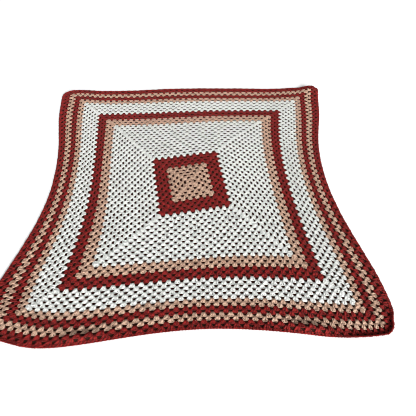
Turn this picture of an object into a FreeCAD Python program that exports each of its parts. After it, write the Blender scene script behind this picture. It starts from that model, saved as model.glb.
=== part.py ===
import FreeCAD, Part
import os
from math import cos, exp, hypot, radians, sin, sqrt

# A crocheted granny-square throw, lying open on the floor with its corners curling up.
# It is worked in the round from the middle outwards, so each length of coloured yarn makes a
# square band. Every band is one closed solid with the outer shape of its crochet, and the bands
# meet face to face where one colour is hooked into the next.
# Frame: +X to the right, +Y to the back, +Z up, and the underside rests on z = 0.

# --- driving dimensions, in millimetres and degrees ---
ROUND_DEPTH = 13.5       # how far one round of double crochet reaches out from the last
EDGING_DEPTH = 8.0       # the last round is plain single crochet, which is shallower
FABRIC_THICKNESS = 8.0   # two crossing strands of plump yarn

# The colour bands from the middle out, each with the number of its last round.
BANDS = [
    ("centre_motif_tan", 6),
    ("inner_frame_burgundy", 10),
    ("main_field_cream", 25),
    ("field_frame_tan", 28),
    ("field_frame_burgundy", 31),
    ("outer_field_cream", 37),
    ("inner_stripe_tan", 39),
    ("middle_stripe_burgundy", 41),
    ("outer_stripe_tan", 43),
    ("border_burgundy", 45),
    ("edging_burgundy", 46),
]
EDGING_ROUND = 46
ROUNDED_FROM = 41        # from this round on, the corners are worked round instead of square
HINGE_ROUND = 44         # the border outside this round curls up at the corners

# How the soft square lies. Crochet in the round twists as it grows.
TWIST_ANGLE = 10.6
TWIST_REACH = 323.0
# Its sides are pulled in between the corners, and its middle lies a little off centre.
SIDE_PULL = {"left": 74.0, "right": 96.0, "front": 60.0, "back": 60.0}
MIDDLE_SHIFT = (-17.0, -7.0)
MIDDLE_STRETCH = 0.028
# Each corner flares by the first (x, y), its outer part slides back by the second, and its very
# tip draws in towards the middle by the last, each over a shorter reach.
CORNER_FLARE = {
    "front_left": (-213, -85),
    "front_right": (135, -81),
    "back_left": (-70, -120),
    "back_right": (92, -107),
}
CORNER_SLIDE = {
    "front_left": (124, 118),
    "front_right": (-97, 45),
    "back_left": (52, 60),
    "back_right": (-62, 43),
}
CORNER_SLIDE_REACH = 180.0
TIP_PULL = {"front_left": 12, "front_right": 42, "back_left": 20, "back_right": 16}
TIP_PULL_REACH = 85.0

# How far the border turns up at each corner, and how far along each side the turn reaches.
CURL_ANGLE = {"front_left": 40.0, "front_right": 105.0, "back_left": 28.0, "back_right": 42.0}
CURL_REACH_X = {"front_left": 180.0, "front_right": 270.0, "back_left": 60.0, "back_right": 90.0}
CURL_REACH_Y = {"front_left": 160.0, "front_right": 110.0, "back_left": 60.0, "back_right": 90.0}
CURL_PLATEAU = 1.4        # above 1, the full turn-up holds for a while before it dies away

# Where the cloth is rucked up off the floor: the middle of each hump in the flat square, its
# half length and half width, and its height.
HUMPS = [
    ((-302, -590), (55, 15), 12),
    ((308, -590), (62, 15), 13),
    ((585, 585), (50, 50), 20),
]

HALF = (EDGING_ROUND - 1) * ROUND_DEPTH + EDGING_DEPTH
ROUNDING = ROUNDED_FROM * ROUND_DEPTH
HINGE = HINGE_ROUND * ROUND_DEPTH
BORDER_WIDTH = HALF - HINGE
POINTS_PER_SIDE = 48     # spline spans along one side of a band
POINTS_PER_CORNER = 6    # and along its rounded end, to the middle of a corner


def smooth_step(t):
    """Rises from 0 to 1 as t goes from 0 to 1, level at both ends."""
    t = min(max(t, 0.0), 1.0)
    return t * t * (3 - 2 * t)


def corner_of(a, b):
    """Name of the corner whose quarter of the throw holds the point."""
    return ("front" if b < 0 else "back") + ("_left" if a < 0 else "_right")


def curl_angle(a, b):
    """Turn-up of the border beside (a, b): full at the corner, none past its reach."""
    corner = corner_of(a, b)
    from_corner_x = max(HINGE - abs(a), 0.0) / CURL_REACH_X[corner]
    from_corner_y = max(HINGE - abs(b), 0.0) / CURL_REACH_Y[corner]
    share = smooth_step(CURL_PLATEAU * (1 - from_corner_x - from_corner_y))
    return radians(CURL_ANGLE[corner]) * share


def past_rounding(t):
    """Signed distance of one flat coordinate past the start of the rounded corners."""
    return t - min(max(t, -ROUNDING), ROUNDING)


def bend_border(a, b, height):
    """Round the corners of the outer rounds, and roll the border up about the hinge line.

    Past the start of the rounding, a square ring becomes a quarter circle in the corner. An arc
    of length s that turns through angle g reaches out s sin(g)/g and rises s (1 - cos(g))/g,
    and height is measured square to it.
    """
    out_a, out_b = past_rounding(a), past_rounding(b)
    length = max(abs(out_a), abs(out_b))
    if length == 0:
        return a, b, height
    flat = min(length, HINGE - ROUNDING)
    rolled = length - flat
    turned = max(curl_angle(a, b) * rolled / BORDER_WIDTH, 1e-6)
    radius = flat + rolled * sin(turned) / turned - height * sin(turned)
    rise = rolled * (1 - cos(turned)) / turned + height * cos(turned)
    slant = hypot(out_a, out_b)
    return a - out_a + radius * out_a / slant, b - out_b + radius * out_b / slant, rise


def hump_height(a, b):
    """How far the humps lift the point (a, b) of the flat square, each a bell curve both ways."""
    lift = 0.0
    for (middle_a, middle_b), (length, width), height in HUMPS:
        lift += height * exp(-(((a - middle_a) / length) ** 2) - ((b - middle_b) / width) ** 2)
    return lift


def twist(x, y):
    """Turn a point about the middle, by an angle that dies away as a bell curve."""
    turn = radians(TWIST_ANGLE) * exp(-(hypot(x, y) / TWIST_REACH) ** 2)
    return x * cos(turn) - y * sin(turn), x * sin(turn) + y * cos(turn)


def slack(x, y):
    """Sideways shift of a point where the cloth is pulled in, flared or slid out of square.

    With u and v the point's place from -1 to 1 across the throw, a side's pull is u squared
    times (1 - v squared), a corner's flare is u squared times v squared, and its slide and tip
    pull are bell curves of the distance from the corner.
    """
    u, v = x / HALF, y / HALF
    middle = (1 - u * u) * (1 - v * v)
    pull_x = -u * abs(u) * (1 - v * v) * SIDE_PULL["right" if u > 0 else "left"]
    pull_y = -v * abs(v) * (1 - u * u) * SIDE_PULL["back" if v > 0 else "front"]
    corner = corner_of(x, y)
    from_corner = hypot(max(HALF - abs(x), 0.0), max(HALF - abs(y), 0.0))
    flare = (u * v) ** 2
    slide = exp(-(from_corner / CORNER_SLIDE_REACH) ** 2)
    tip = TIP_PULL[corner] / sqrt(2) * exp(-(from_corner / TIP_PULL_REACH) ** 2)
    side_x = 1 if x > 0 else -1
    side_y = 1 if y > 0 else -1
    shift_x = CORNER_FLARE[corner][0] * flare + CORNER_SLIDE[corner][0] * slide - tip * side_x
    shift_y = CORNER_FLARE[corner][1] * flare + CORNER_SLIDE[corner][1] * slide - tip * side_y
    return pull_x + MIDDLE_SHIFT[0] * middle + shift_x, pull_y + MIDDLE_SHIFT[1] * middle + shift_y


def lay(a, b, height):
    """Place the point (a, b) of the flat square where it lies, height above the underside."""
    x, y, z = bend_border(a, b, height)
    x, y = twist(x, y)
    shift_x, shift_y = slack(x, y)
    x, y = x + shift_x, y + shift_y
    y *= 1 + MIDDLE_STRETCH * (1 - (y / HALF) ** 2)
    return FreeCAD.Vector(x, y, z + hump_height(a, b))


def half_side(round_number):
    """Distance from the middle of the flat square to the outer side of a round."""
    if round_number == EDGING_ROUND:
        return HALF
    return round_number * ROUND_DEPTH


def side_places(half):
    """Places along one side of a ring, closer together round the corners."""
    straight = min(half, ROUNDING)
    places = [straight * (2 * i / POINTS_PER_SIDE - 1) for i in range(POINTS_PER_SIDE + 1)]
    if half > ROUNDING:
        step = (half - ROUNDING) / POINTS_PER_CORNER
        rounded = [ROUNDING + step * (i + 1) for i in range(POINTS_PER_CORNER)]
        places = [-t for t in reversed(rounded)] + places + rounded
    return places


def ring(round_number, height):
    """The four edge curves of the square outline at a round: front, right, back, left."""
    half = half_side(round_number)
    sides = [lambda t: (t, -half), lambda t: (half, t), lambda t: (-t, half), lambda t: (-half, -t)]
    edges = []
    for side in sides:
        curve = Part.BSplineCurve()
        curve.interpolate([lay(*side(t), height) for t in side_places(half)])
        edges.append(curve.toShape())
    return edges


def strips(inner_edges, outer_edges):
    """Ruled faces between two rings."""
    return [Part.makeRuledSurface(inner, outer) for inner, outer in zip(inner_edges, outer_edges)]


def band(first_edge, last_edge):
    """Closed solid between two round numbers: lower and upper skins joined by side walls."""
    rounds = [first_edge, last_edge] if first_edge > 0 else [last_edge]
    lower, upper = [[ring(r, height) for r in rounds] for height in (0, FABRIC_THICKNESS)]
    faces = strips(lower[-1], upper[-1])
    if first_edge > 0:
        faces += strips(lower[0], upper[0]) + strips(*lower) + strips(*upper)
    else:
        faces += [Part.Face(Part.Wire(rings[0])) for rings in (lower, upper)]
    sewn = Part.makeCompound(faces)
    sewn.sewShape()
    solid = Part.Solid(sewn.Shells[0])
    if solid.Volume < 0:
        solid.reverse()
    return solid


def make_bands():
    """Every colour band by name, from the middle out."""
    solids = {}
    first_edge = 0
    for name, last_edge in BANDS:
        solids[name] = band(first_edge, last_edge)
        first_edge = last_edge
    return solids


def centre_on_origin(solids):
    """Move the throw so that the origin is under the middle of its box."""
    box = Part.makeCompound(list(solids.values())).optimalBoundingBox(False)
    for solid in solids.values():
        solid.translate(FreeCAD.Vector(-box.Center.x, -box.Center.y, 0))
    return box


os.makedirs("parts", exist_ok=True)
bands = make_bands()
box = centre_on_origin(bands)
print(f"throw {box.XLength:.0f} x {box.YLength:.0f} x {box.ZLength:.1f} mm, lowest point {box.ZMin:.2f}")
for name, solid in bands.items():
    print(f"{name}: valid {solid.isValid()}, {solid.Volume / 1000:.0f} cm3")
    solid.exportStep(f"parts/{name}.step")
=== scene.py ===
# %% [markdown]
# # A crocheted granny-square throw
# The throw is worked in the round: 45 rounds of clusters, each cluster three tall stitches that
# fan out of one gap of the round before, and a narrow plain edging. The colours change on the
# way out. It could be a plain cloth with a pattern painted on, but crochet is mostly holes and
# plump strands, and its light and shade come from them. So every stitch here is a mesh.
#
# The work is drawn as a flat square first, in millimetres, where a stitch is easy to place. One
# function, `lay`, then bends the whole flat square to the way the throw lies on the floor.

import bpy
import numpy as np
from mathutils import Matrix, Vector


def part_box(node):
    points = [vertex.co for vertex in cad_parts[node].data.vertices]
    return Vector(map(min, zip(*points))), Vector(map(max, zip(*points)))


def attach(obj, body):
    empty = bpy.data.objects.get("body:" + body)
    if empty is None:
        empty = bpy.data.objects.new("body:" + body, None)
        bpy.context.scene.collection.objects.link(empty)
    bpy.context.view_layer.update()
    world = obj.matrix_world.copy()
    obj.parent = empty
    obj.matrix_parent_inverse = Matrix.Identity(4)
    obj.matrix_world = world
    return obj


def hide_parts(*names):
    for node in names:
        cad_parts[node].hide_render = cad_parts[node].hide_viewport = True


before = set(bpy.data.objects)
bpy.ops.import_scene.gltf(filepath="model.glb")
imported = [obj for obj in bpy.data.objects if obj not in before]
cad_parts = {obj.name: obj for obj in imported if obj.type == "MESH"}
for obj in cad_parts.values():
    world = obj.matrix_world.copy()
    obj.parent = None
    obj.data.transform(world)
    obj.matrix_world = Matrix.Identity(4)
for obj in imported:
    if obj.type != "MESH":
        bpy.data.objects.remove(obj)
bpy.context.view_layer.update()
scene = bpy.context.scene
chance = np.random.default_rng(46)
print("bands in the frame:", sorted(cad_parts))

# %% [markdown]
# ## Driving sizes
# These are the maker's numbers, in millimetres: how deep one round is, how deep the edging
# is, and which round each colour ends on. The rest is worked out from them.

# %% Rounds and colours
MM = 0.001
TINY = 1e-6
TINY_LENGTH = 1e-9
ROUND_DEPTH = 13.5
EDGING_DEPTH = 8.0
EDGING_ROUND = 46
HALF = (EDGING_ROUND - 1) * ROUND_DEPTH + EDGING_DEPTH
BANDS = [
    ("centre_motif_tan", 6),
    ("inner_frame_burgundy", 10),
    ("main_field_cream", 25),
    ("field_frame_tan", 28),
    ("field_frame_burgundy", 31),
    ("outer_field_cream", 37),
    ("inner_stripe_tan", 39),
    ("middle_stripe_burgundy", 41),
    ("outer_stripe_tan", 43),
    ("border_burgundy", 45),
    ("edging_burgundy", 46),
]
print(f"flat square {2 * HALF:.0f} mm across")


def band_of(round_number):
    """Name of the colour band that a round belongs to."""
    return next(name for name, last_round in BANDS if round_number <= last_round)


# %% [markdown]
# ## How the throw lies
# Soft cloth never lies square. The middle has twisted a little, as crochet in the round does,
# the sides are pulled in, the corners flare, and the rim turns up at each corner. A cloth
# simulation would give some such shape, but not this one, so each of these moves is a smooth
# formula, and they are applied one after another to whole arrays of points.

# %% The border: rounded corners, and a rim that turns up
ROUNDED_FROM = 41
HINGE_ROUND = 44
ROUNDING = ROUNDED_FROM * ROUND_DEPTH
HINGE = HINGE_ROUND * ROUND_DEPTH
RIM_WIDTH = HALF - HINGE
CURL_ANGLE = {"front_left": 40, "front_right": 105, "back_left": 28, "back_right": 42}
CURL_PLATEAU = 1.4
CURL_REACH_X = {"front_left": 180, "front_right": 270, "back_left": 60, "back_right": 90}
CURL_REACH_Y = {"front_left": 160, "front_right": 110, "back_left": 60, "back_right": 90}


def by_corner(table, x, y):
    """For each point, the table's value for the corner whose quarter of the throw holds it."""
    front = np.where(x < 0, table["front_left"], table["front_right"])
    back = np.where(x < 0, table["back_left"], table["back_right"])
    return np.where(y < 0, front, back)


def smooth_step(t):
    """Rises from 0 to 1 as t goes from 0 to 1, level at both ends: t squared times (3 - 2t)."""
    t = np.clip(t, 0, 1)
    return t * t * (3 - 2 * t)


def bend_border(a, b, height):
    """Rounds the corners of the outer rounds and rolls the rim up past the hinge line.

    The turn is full at a corner and dies away along both sides. Where CURL_PLATEAU is above 1,
    it stays full for a while first. An arc of length s that turns through angle g reaches out
    s sin(g)/g and rises s (1 - cos(g))/g. Height is measured square to the arc.
    """
    out_a = a - np.clip(a, -ROUNDING, ROUNDING)
    out_b = b - np.clip(b, -ROUNDING, ROUNDING)
    length = np.maximum(abs(out_a), abs(out_b))
    flat = np.minimum(length, HINGE - ROUNDING)
    rolled = length - flat
    from_corner_x = np.maximum(HINGE - abs(a), 0) / by_corner(CURL_REACH_X, a, b)
    from_corner_y = np.maximum(HINGE - abs(b), 0) / by_corner(CURL_REACH_Y, a, b)
    share = smooth_step(CURL_PLATEAU * (1 - from_corner_x - from_corner_y))
    curl = np.radians(by_corner(CURL_ANGLE, a, b)) * share
    turned = np.maximum(curl * rolled / RIM_WIDTH, TINY)
    radius = flat + rolled * np.sin(turned) / turned - height * np.sin(turned)
    rise = rolled * (1 - np.cos(turned)) / turned + height * np.cos(turned)
    slant = np.maximum(np.hypot(out_a, out_b), TINY_LENGTH)
    return a - out_a + radius * out_a / slant, b - out_b + radius * out_b / slant, rise


# %% Humps where the cloth is rucked up
# Each row: the middle of the hump in the flat square, its half length and width, its height.
HUMPS = [
    ((-302, -590), (55, 15), 12),
    ((308, -590), (62, 15), 13),
    ((585, 585), (50, 50), 20),
]


def hump_height(a, b):
    """How far the humps lift each point of the flat square, each a bell curve both ways."""
    lift = np.zeros_like(a)
    for (middle_a, middle_b), (length, width), height in HUMPS:
        lift += height * np.exp(-(((a - middle_a) / length) ** 2) - ((b - middle_b) / width) ** 2)
    return lift


# %% Twist, pull, flare and slide
TWIST_ANGLE = 10.6
TWIST_REACH = 323.0
SIDE_PULL = {"left": 74.0, "right": 96.0, "front": 60.0, "back": 60.0}
MIDDLE_SHIFT = (-17.0, -7.0)
MIDDLE_STRETCH = 0.028
CORNER_FLARE_X = {"front_left": -213, "front_right": 135, "back_left": -70, "back_right": 92}
CORNER_FLARE_Y = {"front_left": -85, "front_right": -81, "back_left": -120, "back_right": -107}
CORNER_SLIDE_X = {"front_left": 124, "front_right": -97, "back_left": 52, "back_right": -62}
CORNER_SLIDE_Y = {"front_left": 118, "front_right": 45, "back_left": 60, "back_right": 43}
CORNER_SLIDE_REACH = 180.0
TIP_PULL = {"front_left": 12, "front_right": 42, "back_left": 20, "back_right": 16}
TIP_PULL_REACH = 85.0


def twist(x, y):
    """Turns points about the middle, by an angle that dies away as a bell curve."""
    turn = np.radians(TWIST_ANGLE) * np.exp(-((np.hypot(x, y) / TWIST_REACH) ** 2))
    return x * np.cos(turn) - y * np.sin(turn), x * np.sin(turn) + y * np.cos(turn)


def slack(x, y):
    """Sideways shift where the cloth is pulled in, flared or slid out of square.

    With u and v the place from -1 to 1 across the throw, a side's pull is u squared times
    (1 - v squared), a corner's flare is u squared times v squared, and its slide and tip pull
    are bell curves of the distance from the corner.
    """
    u, v = x / HALF, y / HALF
    middle = (1 - u * u) * (1 - v * v)
    pull_x = -u * abs(u) * (1 - v * v) * np.where(u > 0, SIDE_PULL["right"], SIDE_PULL["left"])
    pull_y = -v * abs(v) * (1 - u * u) * np.where(v > 0, SIDE_PULL["back"], SIDE_PULL["front"])
    from_corner = np.hypot(np.maximum(HALF - abs(x), 0), np.maximum(HALF - abs(y), 0))
    flare = (u * v) ** 2
    slide = np.exp(-((from_corner / CORNER_SLIDE_REACH) ** 2))
    tip = by_corner(TIP_PULL, x, y) / np.sqrt(2) * np.exp(-((from_corner / TIP_PULL_REACH) ** 2))
    corner_x = by_corner(CORNER_FLARE_X, x, y) * flare + by_corner(CORNER_SLIDE_X, x, y) * slide
    corner_y = by_corner(CORNER_FLARE_Y, x, y) * flare + by_corner(CORNER_SLIDE_Y, x, y) * slide
    shift_x = pull_x + MIDDLE_SHIFT[0] * middle + corner_x - tip * np.sign(x)
    shift_y = pull_y + MIDDLE_SHIFT[1] * middle + corner_y - tip * np.sign(y)
    return shift_x, shift_y


# %% The whole lie, in metres
RIPPLE_HEIGHT = 0.9
RIPPLE_LENGTHS = (190.0, 127.0, 83.0)


def ripple(x, y):
    """Low waves in the cloth: three crossing sine waves, added up and kept above the floor."""
    one = np.sin(2 * np.pi * (x + 0.3 * y) / RIPPLE_LENGTHS[0])
    two = np.sin(2 * np.pi * (y - 0.4 * x) / RIPPLE_LENGTHS[1] + 1.0)
    three = np.sin(2 * np.pi * (x + y) / RIPPLE_LENGTHS[2] + 2.0)
    return RIPPLE_HEIGHT * (3 + one + two + three) / 3


def lay_in_mm(points):
    """Flat square (across, along, height) to the lie of the throw, both in millimetres."""
    x, y, z = bend_border(points[..., 0], points[..., 1], points[..., 2])
    x, y = twist(x, y)
    z = z + ripple(x, y) + hump_height(points[..., 0], points[..., 1])
    shift_x, shift_y = slack(x, y)
    x, y = x + shift_x, y + shift_y
    y = y * (1 + MIDDLE_STRETCH * (1 - (y / HALF) ** 2))
    return np.stack([x, y, z], axis=-1)


def find_centring():
    """The shift that puts the outline's box where the frame's outermost band has its box."""
    along = np.linspace(-HALF, HALF, 800)
    edge = np.full_like(along, HALF)
    sides = [(along, -edge), (edge, along), (along, edge), (-edge, along)]
    outline = np.concatenate([np.stack([a, b, 0 * a], axis=-1) for a, b in sides])
    laid = lay_in_mm(outline) * MM
    low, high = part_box("edging_burgundy")
    want = (np.array(low) + np.array(high)) / 2
    shift = want - (laid.min(axis=0) + laid.max(axis=0)) / 2
    return np.array([shift[0], shift[1], 0.0])


CENTRING = find_centring()
print("centring shift in mm:", np.round(CENTRING / MM, 1))


def lay(points):
    """Flat square in millimetres to its place in the row frame, in metres."""
    return lay_in_mm(points) * MM + CENTRING


# %% [markdown]
# ## A strand
# Every stitch is a strand: a tube whose section is a flattened hexagon, with two of its six
# corners standing out as ridges. Turning the section along the way winds the ridges round the
# strand as the plies of yarn do. Hundreds of strands share one set of numpy arrays, shaped
# (strand, ring along it, corner of the section).

# %% Strands on a grid
SECTION_CORNERS = 6
RIDGE = np.array([1.16, 0.94, 0.94, 1.16, 0.94, 0.94])


def unit(vectors):
    """The same directions, with length one."""
    return vectors / np.maximum(np.linalg.norm(vectors, axis=-1, keepdims=True), TINY_LENGTH)


def strand_rings(centres, tangents, half_width, half_height, turn):
    """Rings of section corners round each centre.

    A corner at angle q sits half_width cos(q) to the side and half_height sin(q) above, both
    square to the strand, and q starts from `turn` so that the section winds along it.
    """
    up = np.array([0.0, 0.0, 1.0])
    side = unit(np.cross(tangents, up))
    above = np.cross(side, tangents)
    angle = turn[..., None] + np.arange(SECTION_CORNERS) * 2 * np.pi / SECTION_CORNERS
    across = (half_width[..., None] * RIDGE * np.cos(angle))[..., None] * side[..., None, :]
    upward = (half_height[..., None] * RIDGE * np.sin(angle))[..., None] * above[..., None, :]
    return centres[..., None, :] + across + upward


def strand_faces(strands, rings, closed):
    """Quads between neighbouring rings, and two quads over each end of an open strand."""
    spans = rings if closed else rings - 1
    first = np.arange(strands)[:, None, None] * rings * SECTION_CORNERS
    here = np.arange(spans)[None, :, None]
    there = (here + 1) % rings
    corner = np.arange(SECTION_CORNERS)[None, None, :]
    beside = (corner + 1) % SECTION_CORNERS
    quads = np.stack(
        [
            first + here * SECTION_CORNERS + corner,
            first + here * SECTION_CORNERS + beside,
            first + there * SECTION_CORNERS + beside,
            first + there * SECTION_CORNERS + corner,
        ],
        axis=-1,
    ).reshape(-1, 4)
    if closed:
        return quads
    start = np.arange(strands)[:, None, None] * rings * SECTION_CORNERS
    lid = np.array([[3, 2, 1, 0], [5, 4, 3, 0]])
    end_lid = lid[:, ::-1] + (rings - 1) * SECTION_CORNERS
    lids = np.concatenate([start + lid, start + end_lid], axis=1).reshape(-1, 4)
    return np.concatenate([quads, lids])


# %% Where a strand's pattern runs
PLY_UNIT = 10.0
PLY_START_SPREAD = 50.0


def strand_uv(strands, rings, closed, lengths):
    """A pattern place for each face corner: length along the strand in centimetres, and turn."""
    spans = rings if closed else rings - 1
    along = lengths / PLY_UNIT
    here = along[:, :spans]
    there = along[:, 1:] if not closed else along[:, 1 : spans + 1]
    corner = np.arange(SECTION_CORNERS) / SECTION_CORNERS
    beside = corner + 1 / SECTION_CORNERS
    u = np.stack([here, here, there, there], axis=-1)[:, :, None, :]
    v = np.stack([corner, beside, beside, corner], axis=-1)[None, None]
    shape = (strands, spans, SECTION_CORNERS, 4)
    uv = np.stack([np.broadcast_to(u, shape), np.broadcast_to(v, shape)], axis=-1)
    uv = uv.reshape(-1, 4, 2)
    if closed:
        return uv
    return np.concatenate([uv, np.zeros((strands * 4, 4, 2))])


# %% [markdown]
# ## The clusters
# A cluster is three tall stitches worked into one gap. At the foot they stand close together
# over the chain of the round before. Near the top they fan out until neighbouring clusters
# almost touch. So clusters side by side leave a row of small holes, and the next round's
# clusters stand over them. Round number n has n clusters on each of its four sides, and the
# square grows by itself.

# %% Stitches of one side
STITCHES_PER_CLUSTER = 3
CLUSTER_PITCH = 2 * ROUND_DEPTH
TOP_SPACING = 7.9
FOOT_SPACING = 3.5
FOOT_DEPTH = 3.0
RING_RADIUS = 3.5
TOP_DEPTH = 1.3
POST_RINGS = 6
POST_TAPER = np.array([0.8, 0.95, 1.0, 1.0, 1.0, 0.85])
POST_HALF_HEIGHT = 1.75
POST_WIDTHS = (2.4, 3.6)
EDGING_POST_WIDTHS = (3.4, 3.4)
POST_LEVEL = 4.2
POST_ARCH = 1.7
ARCH_EARLY = 0.62
FAN_LATE = 2.3
POST_TURN = 0.6
UNEVENNESS = 0.45
UNEVEN_TOPS = 0.3
UNEVEN_LEVELS = 0.25
UNEVEN_WIDTHS = 0.05
MOTIF_ROUNDS = BANDS[0][1]
MOTIF_TIGHTNESS = 0.88


def tightness(round_number):
    """The first rounds crowd together, so they are worked a little tighter than the others."""
    return MOTIF_TIGHTNESS if round_number <= MOTIF_ROUNDS else 1.0


def post_ends(round_number):
    """Foot and top places along the side, foot and top levels, for every post of one side."""
    if round_number == EDGING_ROUND:
        inner, outer = (EDGING_ROUND - 1) * ROUND_DEPTH, HALF
        pitch = CLUSTER_PITCH / STITCHES_PER_CLUSTER
        count = int(2 * inner / pitch)
        foot = (np.arange(count) - (count - 1) / 2) * pitch
        return foot, foot * (outer - TOP_DEPTH) / inner, inner, outer - TOP_DEPTH
    inner, outer = (round_number - 1) * ROUND_DEPTH, round_number * ROUND_DEPTH
    cluster = (np.arange(round_number) - (round_number - 1) / 2) * CLUSTER_PITCH
    place = np.arange(STITCHES_PER_CLUSTER) - (STITCHES_PER_CLUSTER - 1) / 2
    foot = (cluster[:, None] + place * FOOT_SPACING).ravel()
    top = (cluster[:, None] + place * TOP_SPACING).ravel()
    return foot, top, inner, outer - TOP_DEPTH


def turn_to_side(points, side):
    """Turns points of the front side about the middle, a quarter turn for each side number."""
    x, y = points[..., 0], points[..., 1]
    turned = [(x, y), (-y, x), (-x, -y), (y, -x)][side]
    return np.stack([turned[0], turned[1], points[..., 2]], axis=-1)


def post_paths(round_number):
    """Centre lines of a round's posts, shaped (post, ring, 3), over all four sides.

    From s = 0 at the foot to s = 1 at the top, a post goes outwards, and sideways by a power of
    s, so that it fans out late. Its height is a sine arch that peaks early, where the post
    comes up over the chain below.
    """
    foot, top, inner, outer = post_ends(round_number)
    s = np.linspace(0, 1, POST_RINGS)
    bow = s**FAN_LATE
    across = foot[:, None] * (1 - bow) + top[:, None] * bow
    foot_level = inner - FOOT_DEPTH if inner > 0 else RING_RADIUS
    level = foot_level + (outer - foot_level) * s
    height = POST_LEVEL + POST_ARCH * np.sin(np.pi * s**ARCH_EARLY)
    per_post = (len(foot), 1)
    sides = []
    for side in range(4):
        wobble = chance.normal(0, UNEVENNESS, per_post)
        lean = chance.normal(0, UNEVENNESS, per_post)
        x = across + wobble + lean * s
        y = -level + chance.normal(0, UNEVEN_TOPS, per_post) * s
        z = height + chance.normal(0, UNEVEN_LEVELS, per_post)
        sides.append(turn_to_side(np.stack([x, y, z], axis=-1), side))
    return np.concatenate(sides)


def posts(round_number):
    """Vertices, quads and pattern places of all posts of a round, still in the flat square."""
    centres = post_paths(round_number)
    count = len(centres)
    s = np.linspace(0, 1, POST_RINGS)[None, :]
    tangents = unit(np.gradient(centres, axis=1))
    last = round_number == EDGING_ROUND
    foot_width, top_width = EDGING_POST_WIDTHS if last else POST_WIDTHS
    width = foot_width + (top_width - foot_width) * smooth_step(s)
    width = width * POST_TAPER * chance.normal(1, UNEVEN_WIDTHS, (count, 1))
    width = width * tightness(round_number)
    thickness = np.broadcast_to(POST_HALF_HEIGHT * POST_TAPER, width.shape)
    turn = np.pi * (POST_TURN * s + chance.uniform(0, 1, (count, 1)))
    rings = strand_rings(centres, tangents, width, thickness, turn)
    steps = np.linalg.norm(np.diff(centres, axis=1), axis=-1)
    start = chance.uniform(0, PLY_START_SPREAD, (count, 1))
    lengths = np.concatenate([start, start + np.cumsum(steps, axis=1)], axis=1)
    faces = strand_faces(count, POST_RINGS, closed=False)
    uv = strand_uv(count, POST_RINGS, False, lengths)
    return rings.reshape(-1, 3), faces, uv


# %% [markdown]
# ## The chain along the top
# The loops that close each stitch make one chain all round the round. It bulges outwards over
# every cluster and is drawn in and down at every gap, where the next round is hooked over it.

# %% Chain
CHAIN_RINGS_PER_STITCH = 4
SCALLOP = 0.5
EDGING_SCALLOP = 0.3
CHAIN_HALF_WIDTH = 1.75
CHAIN_HALF_HEIGHT = 1.5
CHAIN_HEIGHT = 4.3
CHAIN_WAVE = 0.5
CHAIN_SWELL = 0.13
EDGING_CHAIN = (2.4, 2.3)


def chain_path(round_number):
    """Closed centre line of a round's chain, shaped (1, ring, 3).

    Outwards it is the round's side plus a cosine with the clusters' pitch, and its height
    follows the same cosine.
    """
    last = round_number == EDGING_ROUND
    level = HALF - EDGING_CHAIN[0] if last else round_number * ROUND_DEPTH
    scallop = EDGING_SCALLOP if last else SCALLOP
    rings = STITCHES_PER_CLUSTER * min(round_number, EDGING_ROUND - 1) * CHAIN_RINGS_PER_STITCH
    along = (np.arange(rings) / rings * 2 - 1) * level
    first_cluster = -(round_number - 1) * ROUND_DEPTH
    wave = np.cos(2 * np.pi * (along - first_cluster) / CLUSTER_PITCH)
    height = CHAIN_HEIGHT + CHAIN_WAVE * wave
    side = np.stack([along, -(level + scallop * wave), height], axis=-1)
    return np.concatenate([turn_to_side(side, k) for k in range(4)])[None]


def chain(round_number):
    """Vertices, quads and pattern places of a round's chain, still in the flat square."""
    centres = chain_path(round_number)
    count = centres.shape[1]
    ahead, behind = np.roll(centres, -1, axis=1), np.roll(centres, 1, axis=1)
    tangents = unit(ahead - behind)
    ring_number = np.arange(count)[None, :]
    in_stitch = 2 * np.pi * ring_number / CHAIN_RINGS_PER_STITCH
    last = round_number == EDGING_ROUND
    half_width, half_height = EDGING_CHAIN if last else (CHAIN_HALF_WIDTH, CHAIN_HALF_HEIGHT)
    width = half_width * tightness(round_number) * (1 + CHAIN_SWELL * np.cos(in_stitch))
    height = np.full(width.shape, half_height)
    turn = np.pi * ring_number / CHAIN_RINGS_PER_STITCH
    rings = strand_rings(centres, tangents, width, height, turn)
    steps = np.linalg.norm(ahead - centres, axis=-1)
    lengths = np.concatenate([np.zeros((1, 1)), np.cumsum(steps, axis=1)], axis=1)
    return rings.reshape(-1, 3), strand_faces(1, count, True), strand_uv(1, count, True, lengths)


# %% [markdown]
# ## From arrays to a piece
# Blender takes the arrays as they are: all vertex places in one call, all corners in another.
# One round is one piece, with its own map of where the plies run.

# %% Make a mesh
def mesh_piece(name, parts):
    """One object from several (vertices, quads, pattern places), bent to the throw's lie."""
    vertices, quads, uvs, offset = [], [], [], 0
    for part_vertices, part_quads, part_uv in parts:
        vertices.append(lay(part_vertices))
        quads.append(part_quads + offset)
        uvs.append(part_uv)
        offset += len(part_vertices)
    vertices, quads = np.concatenate(vertices), np.concatenate(quads)
    mesh = bpy.data.meshes.new(name)
    mesh.vertices.add(len(vertices))
    mesh.vertices.foreach_set("co", vertices.ravel())
    mesh.loops.add(quads.size)
    mesh.loops.foreach_set("vertex_index", quads.ravel())
    mesh.polygons.add(len(quads))
    mesh.polygons.foreach_set("loop_start", np.arange(0, quads.size, 4))
    mesh.update(calc_edges=True)
    mesh.polygons.foreach_set("use_smooth", np.ones(len(quads), bool))
    ply_map = mesh.uv_layers.new(name="plies")
    ply_map.uv.foreach_set("vector", np.concatenate(uvs).ravel())
    mesh.validate()
    piece = bpy.data.objects.new(name, mesh)
    scene.collection.objects.link(piece)
    return piece
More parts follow.
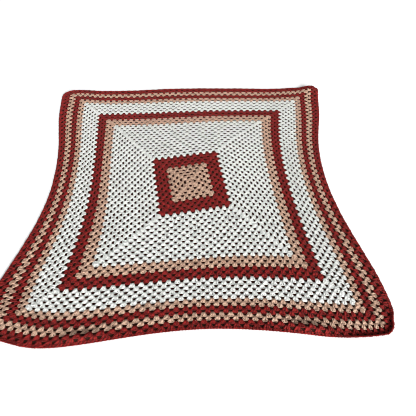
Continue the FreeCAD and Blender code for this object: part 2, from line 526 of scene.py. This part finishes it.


# %% [markdown]
# ## Yarn
# The yarn is plied acrylic of medium weight: three soft spun strands wound together. It is
# matte and a little fuzzy, and light catches the fuzz at a grazing angle, which the sheen
# stands for. The plies show as slanting ridges, with painted shade in the grooves between them,
# and no two stitches have quite the same colour.

# %% Colours and nodes
def linear(hex_colour):
    """sRGB hex to linear red, green, blue and alpha: the power curve of the sRGB standard."""
    values = [int(hex_colour[i : i + 2], 16) / 255 for i in (0, 2, 4)]
    bent = [v / 12.92 if v <= 0.04045 else ((v + 0.055) / 1.055) ** 2.4 for v in values]
    return (*bent, 1.0)


def add_node(tree, kind, settings=None, inputs=None, links=None):
    """Adds a node, with its own settings, values for its inputs, and links from other nodes."""
    node = tree.nodes.new(kind)
    for key, value in (settings or {}).items():
        setattr(node, key, value)
    for key, value in (inputs or {}).items():
        node.inputs[key].default_value = value
    for key, output in (links or {}).items():
        tree.links.new(output, node.inputs[key])
    return node


# %% Plied acrylic yarn
PLIES = 3
PLY_TURN_MM = 9.0
# PLY_SHADE is painted shade: how much darker the colour is in the grooves between the plies.
PLY_SHADE = 0.24
FUZZ_MM = 0.9
STITCH_MM = 11.0


def plied_acrylic(name, light_hex, dark_hex, sheen):
    """Soft plied acrylic: slanting ply ridges, fuzz, and a shade that drifts between stitches.

    The ply ridge is a sine of PLIES turns round the strand plus one turn every PLY_TURN_MM. It
    bumps the surface, and it also darkens the colour in the grooves between the plies: painted
    shade.
    """
    material = bpy.data.materials.new(name)
    material.use_nodes = True
    tree = material.node_tree
    tree.nodes.clear()
    place = add_node(tree, "ShaderNodeTexCoord")
    split = add_node(tree, "ShaderNodeSeparateXYZ", links={"Vector": place.outputs["UV"]})
    turns = 2 * np.pi * PLY_UNIT / PLY_TURN_MM
    wound = add_node(
        tree, "ShaderNodeMath", {"operation": "MULTIPLY"}, {1: turns}, {0: split.outputs["X"]}
    )
    angle = add_node(
        tree,
        "ShaderNodeMath",
        {"operation": "MULTIPLY_ADD"},
        {1: 2 * np.pi * PLIES},
        {0: split.outputs["Y"], 2: wound.outputs[0]},
    )
    ridge = add_node(
        tree, "ShaderNodeMath", {"operation": "SINE"}, links={0: angle.outputs[0]}
    )
    fuzz = add_node(
        tree,
        "ShaderNodeTexNoise",
        inputs={"Scale": 1 / (FUZZ_MM * MM), "Detail": 3.0, "Roughness": 0.6},
        links={"Vector": place.outputs["Object"]},
    )
    drift = add_node(
        tree,
        "ShaderNodeTexNoise",
        inputs={"Scale": 1 / (STITCH_MM * MM), "Detail": 2.0, "Roughness": 0.5},
        links={"Vector": place.outputs["Object"]},
    )
    # Painted shade: the ply ridge darkens the colour in the grooves, on top of the random drift
    # from stitch to stitch.
    shade = add_node(
        tree,
        "ShaderNodeMath",
        {"operation": "MULTIPLY_ADD"},
        {1: PLY_SHADE},
        {0: ridge.outputs[0], 2: drift.outputs["Fac"]},
    )
    ramp = add_node(tree, "ShaderNodeValToRGB", links={"Fac": shade.outputs[0]})
    ramp.color_ramp.elements[0].position = 0.2
    ramp.color_ramp.elements[0].color = linear(dark_hex)
    ramp.color_ramp.elements[1].position = 0.7
    ramp.color_ramp.elements[1].color = linear(light_hex)
    ply_bump = add_node(
        tree,
        "ShaderNodeBump",
        inputs={"Strength": 0.85, "Distance": 0.0008},
        links={"Height": ridge.outputs[0]},
    )
    fuzz_bump = add_node(
        tree,
        "ShaderNodeBump",
        inputs={"Strength": 0.5, "Distance": 0.0004},
        links={"Height": fuzz.outputs["Fac"], "Normal": ply_bump.outputs["Normal"]},
    )
    yarn = add_node(
        tree,
        "ShaderNodeBsdfPrincipled",
        inputs={
            "Roughness": 0.88,
            "IOR": 1.45,
            "Specular IOR Level": 0.18,
            "Sheen Weight": sheen,
            "Sheen Roughness": 0.45,
        },
        links={"Base Color": ramp.outputs["Color"], "Normal": fuzz_bump.outputs["Normal"]},
    )
    add_node(tree, "ShaderNodeOutputMaterial", links={"Surface": yarn.outputs["BSDF"]})
    return material


YARNS = {
    "tan_yarn": plied_acrylic("tan plied acrylic", "DCB9A1", "A6806B", 0.1),
    "burgundy_yarn": plied_acrylic("burgundy plied acrylic", "952623", "61110F", 0.05),
    "cream_yarn": plied_acrylic("cream plied acrylic", "F3F4F0", "D6D8D3", 0.1),
}
print("yarns:", sorted(YARNS))


# %% [markdown]
# ## Working the rounds
# Now the throw is made the way it was crocheted, one round after another from the middle. Each
# colour band of the frame is replaced by the rounds worked in that colour.

# %% Work all rounds
def work_rounds(first, last):
    """Rounds first to last as one finished piece: posts and chains, in the yarn of their band."""
    band = band_of(last)
    colour = band.rsplit("_", 1)[1]
    name = f"round_{last:02d}_{colour}"
    if first != last:
        name = f"rounds_{first:02d}_to_{last:02d}_{colour}"
    parts = []
    for round_number in range(first, last + 1):
        parts += [posts(round_number), chain(round_number)]
    piece = mesh_piece(name, parts)
    slot = f"{colour}_yarn"
    piece.data.materials.append(YARNS[slot])
    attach(piece, "root")
    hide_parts(band)
    declare_cloth(first, last)
    return piece


def declare_cloth(first, last):
    """Works out the inner and outer edges of the rounds as a strip of cloth, but does not use
    them.
    """
    inner, outer = (first - 1) * ROUND_DEPTH, last * ROUND_DEPTH
    if last == EDGING_ROUND:
        inner, outer = inner - FOOT_DEPTH, HALF


rounds = [work_rounds(1, MOTIF_ROUNDS)]
rounds += [work_rounds(n, n) for n in range(MOTIF_ROUNDS + 1, EDGING_ROUND + 1)]
triangles = [2 * len(piece.data.polygons) for piece in rounds]
print(f"{len(rounds)} pieces, {sum(triangles)} triangles, largest piece {max(triangles)}")

# %% [markdown]
# ## Floor, and painted shade in the holes
# The throw lies on a pale floor. Between its strands is a thin dark sheet, a little smaller
# than the throw, that paints the shade in the holes of the crochet, so that they read as dark.
# Both are only the stage.

# %% Stage
FLOOR_SIZE = 12.0
# The dark sheet of painted shade: its inset from the rim, its height among the strands, its grid
# steps.
SHADE_SHEET_INSET = 3.5
SHADE_SHEET_HEIGHT = 3.4
SHADE_SHEET_STEPS = 240


def grid_surface(name, corners, material):
    """An open surface through a (rows, columns, 3) grid of points."""
    rows, columns = corners.shape[:2]
    index = np.arange(rows * columns).reshape(rows, columns)
    quads = np.stack([index[:-1, :-1], index[:-1, 1:], index[1:, 1:], index[1:, :-1]], axis=-1)
    mesh = bpy.data.meshes.new(name)
    mesh.from_pydata(corners.reshape(-1, 3).tolist(), [], quads.reshape(-1, 4).tolist())
    mesh.materials.append(material)
    surface = bpy.data.objects.new(name, mesh)
    scene.collection.objects.link(surface)
    return surface


def matte(name, hex_colour):
    """A plain matte surface for the stage: the pale floor, and the dark sheet of painted shade.
    """
    material = bpy.data.materials.new(name)
    material.use_nodes = True
    shader = material.node_tree.nodes["Principled BSDF"]
    shader.inputs["Base Color"].default_value = linear(hex_colour)
    shader.inputs["Roughness"].default_value = 0.9
    shader.inputs["Specular IOR Level"].default_value = 0.1
    return material


def shade_sheet_grid():
    """The points of the dark sheet that paints the shade in the holes: the throw's own lie, at
    the level of the strands' undersides.
    """
    t = np.linspace(SHADE_SHEET_INSET - HALF, HALF - SHADE_SHEET_INSET, SHADE_SHEET_STEPS)
    a, b = np.meshgrid(t, t)
    return lay(np.stack([a, b, np.full_like(a, SHADE_SHEET_HEIGHT)], axis=-1))


reach = FLOOR_SIZE / 2
floor_x, floor_y = np.meshgrid([-reach, reach], [-reach, reach])
floor_grid = np.stack([floor_x, floor_y, 0 * floor_x], axis=-1)
floor = grid_surface("floor", floor_grid, matte("pale floor", "FAFAFA"))
# Painted shade: a dark sheet among the strands that makes every hole of the crochet read as dark.
shade_sheet = grid_surface("painted_hole_shade", shade_sheet_grid(), matte("painted hole shade", "2C150D"))

# %% [markdown]
# ## Light and camera
# The light comes from all round, as in a bright room, and most of it through a wide window in
# front and a little to the right. That light is low, so it picks out every stitch. The camera
# stands in front and looks down at the throw. The render is kept crisp, for the small holes.

# %% Light
WORLD_STRENGTH = 0.32
world = bpy.data.worlds.new("bright room")
scene.world = world
world.use_nodes = True
world.node_tree.nodes["Background"].inputs["Color"].default_value = (1, 1, 1, 1)
world.node_tree.nodes["Background"].inputs["Strength"].default_value = WORLD_STRENGTH


def soft_sun(name, azimuth, elevation, strength, spread):
    """A distant lamp with soft shadows; azimuth 0 is in front, and 90 is to the right."""
    data = bpy.data.lights.new(name, "SUN")
    data.energy = strength
    data.angle = np.radians(spread)
    lamp = bpy.data.objects.new(name, data)
    scene.collection.objects.link(lamp)
    turn, rise = np.radians(azimuth), np.radians(elevation)
    towards = Vector((np.sin(turn) * np.cos(rise), -np.cos(turn) * np.cos(rise), np.sin(rise)))
    lamp.rotation_euler = towards.to_track_quat("Z", "Y").to_euler()
    return lamp


soft_sun("window light", azimuth=25, elevation=30, strength=5.2, spread=25)
print("world strength", WORLD_STRENGTH)

# %% Camera
CAMERA_LENS = 27.95
CAMERA_PITCH = np.radians(57.0)
CAMERA_YAW = np.radians(4.66)
CAMERA_ROLL = np.radians(2.28)
CAMERA_DISTANCE = 1.196
FILTER_WIDTH = 0.9
CAMERA_TARGET = np.array([0.048, -0.128, 0.0]) + CENTRING


def camera_axes(pitch, yaw, roll):
    """The camera's right, up and forward directions: turned by yaw, tipped by pitch, rolled."""
    forward = np.array([np.sin(yaw) * np.cos(pitch), np.cos(yaw) * np.cos(pitch), -np.sin(pitch)])
    right = np.array([np.cos(yaw), -np.sin(yaw), 0.0])
    up = np.cross(right, forward)
    rolled_right = np.cos(roll) * right + np.sin(roll) * up
    rolled_up = np.cos(roll) * up - np.sin(roll) * right
    return rolled_right, rolled_up, forward


def place_camera():
    """A camera at a distance from its target, without blur or shift."""
    right, up, forward = camera_axes(CAMERA_PITCH, CAMERA_YAW, CAMERA_ROLL)
    place = CAMERA_TARGET - CAMERA_DISTANCE * forward
    data = bpy.data.cameras.new("camera")
    data.lens = CAMERA_LENS
    data.sensor_width = 36.0
    data.clip_start = 0.05
    camera = bpy.data.objects.new("camera", data)
    scene.collection.objects.link(camera)
    turn = Matrix([Vector(right), Vector(up), Vector(-forward)]).transposed()
    camera.matrix_world = Matrix.Translation(Vector(place)) @ turn.to_4x4()
    scene.camera = camera
    return camera


camera = place_camera()
scene.view_settings.view_transform = "Standard"
scene.cycles.filter_width = FILTER_WIDTH
print("camera at", [round(v, 3) for v in camera.location])

# %% Finish
bpy.context.view_layer.update()
